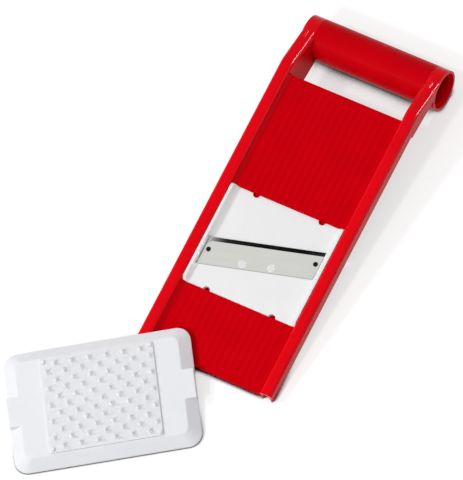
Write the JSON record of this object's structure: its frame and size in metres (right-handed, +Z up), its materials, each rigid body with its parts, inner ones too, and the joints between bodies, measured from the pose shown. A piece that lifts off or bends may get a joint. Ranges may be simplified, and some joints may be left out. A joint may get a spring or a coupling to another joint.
{
  "type": "mandoline slicer",
  "caption": "Hand mandoline slicer: ribbed red channel frame propped on its tubular handle, lift-out white insert with a skewed steel blade, and a spiked white food holder beside it.",
  "frame": {"origin": "middle of the set's bounding box, on the table it stands on", "axes": "+Z up; +Y along the slicer from its lower end towards the handle; +X across it, to the right"},
  "size_m": [0.2038, 0.4346, 0.0407],
  "materials": {
    "red_plastic": "glossy moulded",
    "white_plastic": "semi-gloss moulded",
    "blade_steel": "fine brushed",
    "rivet_steel": "blackened"
  },
  "bodies": {
    "frame": {"left_rail": "red_plastic", "right_rail": "red_plastic", "upper_runway": "red_plastic", "lower_runway": "red_plastic", "handle_tube": "red_plastic", "tube_key_left": "red_plastic", "tube_key_right": "red_plastic"},
    "insert": {"insert_tray": "white_plastic", "blade": "blade_steel", "blade_rivet_left": "rivet_steel", "blade_rivet_right": "rivet_steel", "rivet_washer_left": "rivet_steel", "rivet_washer_right": "rivet_steel", "blade_stud_left": "white_plastic", "blade_stud_right": "white_plastic"},
    "holder": {"holder_shell": "white_plastic", "spike_plate": "white_plastic"}
  },
  "joints": [
    {"name": "insert_lift", "type": "slide", "parent": "frame", "child": "insert", "axis": [0, -0.1194, 0.9928], "range_m": [0, 0.04]},
    {"name": "holder_lift", "type": "slide", "parent": "frame", "child": "holder", "axis": [0, 0, 1], "range_m": [0, 0.09]}
  ]
}
